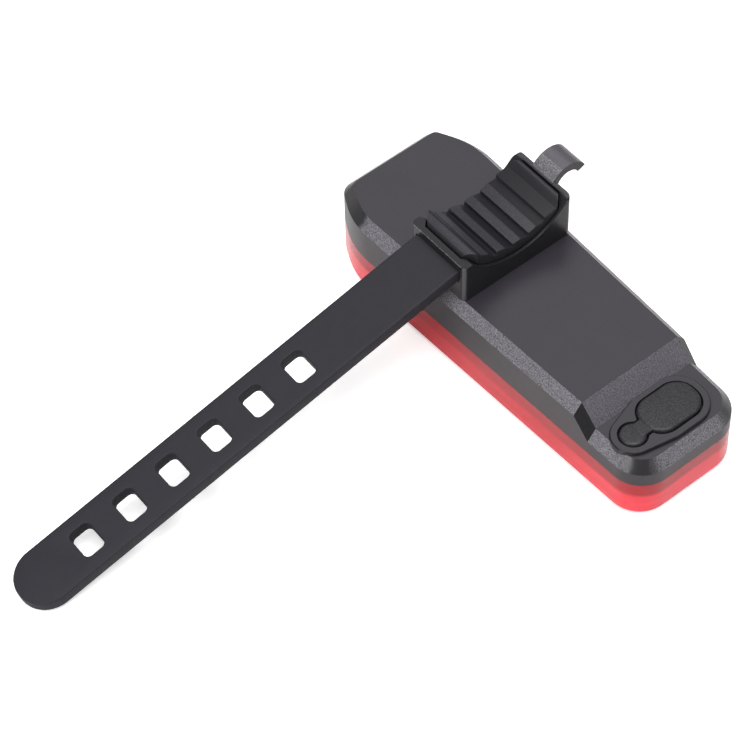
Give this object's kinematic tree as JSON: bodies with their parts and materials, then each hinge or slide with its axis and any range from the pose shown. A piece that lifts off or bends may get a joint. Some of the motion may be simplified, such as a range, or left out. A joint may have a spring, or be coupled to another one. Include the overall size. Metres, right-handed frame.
{
  "type": "bike rear light",
  "caption": "Slim bicycle rear light with a red lens, a ribbed saddle bracket with a hook and a long perforated rubber strap.",
  "frame": {"origin": "middle of the lens's front face", "axes": "+X along the body to the charging port, +Y across it to the hook, +Z out of the back towards the seat post"},
  "size_m": [0.0791, 0.1172, 0.0285],
  "materials": {
    "housing_plastic": "satin, with a spark-eroded bevel",
    "lens_plastic": "translucent red",
    "white_plastic": "gloss",
    "board": "solder mask",
    "led_white": "matte",
    "chip_black": "matte",
    "steel": "plated",
    "battery_wrap": "foil pouch",
    "foam": "foam",
    "red_wire": "matte",
    "black_rubber": "matte",
    "strap_rubber": "matte",
    "pad_rubber": "matte",
    "bracket_plastic": "gloss"
  },
  "bodies": {
    "lamp": {"back_housing": "housing_plastic", "lens": "lens_plastic", "housing_gasket": "black_rubber", "reflector": "white_plastic", "circuit_board": "board", "leds": "led_white", "board_components": "chip_black", "board_screws": "steel", "battery": "battery_wrap", "battery_foam": "foam", "battery_lead_red": "red_wire", "battery_lead_black": "black_rubber", "charging_socket": "steel", "socket_tongue": "chip_black", "tact_switch": "chip_black", "port_cover_anchor": "strap_rubber", "strap_bracket": "bracket_plastic", "bracket_screws": "steel", "saddle_pad": "pad_rubber"},
    "button": {"power_button": "black_rubber", "switch_plunger": "white_plastic"},
    "port_cover": {"port_cover_tab": "strap_rubber"},
    "strap_1": {"strap_segment_1": "strap_rubber"},
    "strap_2": {"strap_segment_2": "strap_rubber"},
    "strap_3": {"strap_segment_3": "strap_rubber"},
    "strap_4": {"strap_segment_4": "strap_rubber"},
    "strap_5": {"strap_segment_5": "strap_rubber"},
    "strap_6": {"strap_segment_6": "strap_rubber"},
    "strap_7": {"strap_segment_7": "strap_rubber"},
    "strap_8": {"strap_segment_8": "strap_rubber"},
    "strap_9": {"strap_segment_9": "strap_rubber"}
  },
  "joints": [
    {"name": "button_press", "type": "slide", "parent": "lamp", "child": "button", "axis": [1, 0, 0], "range_m": [0, 0.0003], "stiffness_N_per_m": 600, "springref_m": -0.0005},
    {"name": "port_cover_lift", "type": "hinge", "parent": "lamp", "child": "port_cover", "pos_m": [0.032, -0.00455, 0.0145], "axis": [1, 0, 0], "range_deg": [0, 110], "stiffness_Nm_per_rad": 0.0005},
    {"name": "strap_bend_1", "type": "hinge", "parent": "lamp", "child": "strap_1", "pos_m": [-0.01176, -0.01235, 0.0238], "axis": [-0.9996, 0.0279, 0], "range_deg": [0, 93], "stiffness_Nm_per_rad": 0.0047},
    {"name": "strap_bend_2", "type": "hinge", "parent": "strap_1", "child": "strap_2", "pos_m": [-0.01199, -0.0205, 0.02178], "axis": [-0.9996, 0.0279, 0], "range_deg": [0, 15.5], "stiffness_Nm_per_rad": 0.0047},
    {"name": "strap_bend_3", "type": "hinge", "parent": "strap_2", "child": "strap_3", "pos_m": [-0.01222, -0.02865, 0.01975], "axis": [-0.9996, 0.0279, 0], "range_deg": [0, 26.5], "stiffness_Nm_per_rad": 0.0047},
    {"name": "strap_bend_4", "type": "hinge", "parent": "strap_3", "child": "strap_4", "pos_m": [-0.01244, -0.0368, 0.01773], "axis": [-0.9996, 0.0279, 0], "range_deg": [0, 39.5], "stiffness_Nm_per_rad": 0.0047},
    {"name": "strap_bend_5", "type": "hinge", "parent": "strap_4", "child": "strap_5", "pos_m": [-0.01269, -0.04553, 0.01556], "axis": [-0.9996, 0.0279, 0], "range_deg": [0, 33.5], "stiffness_Nm_per_rad": 0.0047},
    {"name": "strap_bend_6", "type": "hinge", "parent": "strap_5", "child": "strap_6", "pos_m": [-0.01293, -0.05426, 0.01339], "axis": [-0.9996, 0.0279, 0], "range_deg": [0, 39.5], "stiffness_Nm_per_rad": 0.0047},
    {"name": "strap_bend_7", "type": "hinge", "parent": "strap_6", "child": "strap_7", "pos_m": [-0.01317, -0.06299, 0.01122], "axis": [-0.9996, 0.0279, 0], "range_deg": [0, 6.5], "stiffness_Nm_per_rad": 0.0047},
    {"name": "strap_bend_8", "type": "hinge", "parent": "strap_7", "child": "strap_8", "pos_m": [-0.01342, -0.07172, 0.00905], "axis": [-0.9996, 0.0279, 0], "range_deg": [0, 6.5], "stiffness_Nm_per_rad": 0.0047},
    {"name": "strap_bend_9", "type": "hinge", "parent": "strap_8", "child": "strap_9", "pos_m": [-0.01366, -0.08045, 0.00688], "axis": [-0.9996, 0.0279, 0], "range_deg": [0, 6.5], "stiffness_Nm_per_rad": 0.0047}
  ],
  "couplings": [
    {"joint": "strap_bend_2", "follows": "strap_bend_1", "ratio": 0.16129},
    {"joint": "strap_bend_3", "follows": "strap_bend_1", "ratio": 0.27957},
    {"joint": "strap_bend_4", "follows": "strap_bend_1", "ratio": 0.41935},
    {"joint": "strap_bend_5", "follows": "strap_bend_1", "ratio": 0.35484},
    {"joint": "strap_bend_6", "follows": "strap_bend_1", "ratio": 0.41935},
    {"joint": "strap_bend_7", "follows": "strap_bend_1", "ratio": 0.064516},
    {"joint": "strap_bend_8", "follows": "strap_bend_1", "ratio": 0.064516},
    {"joint": "strap_bend_9", "follows": "strap_bend_1", "ratio": 0.064516}
  ]
}
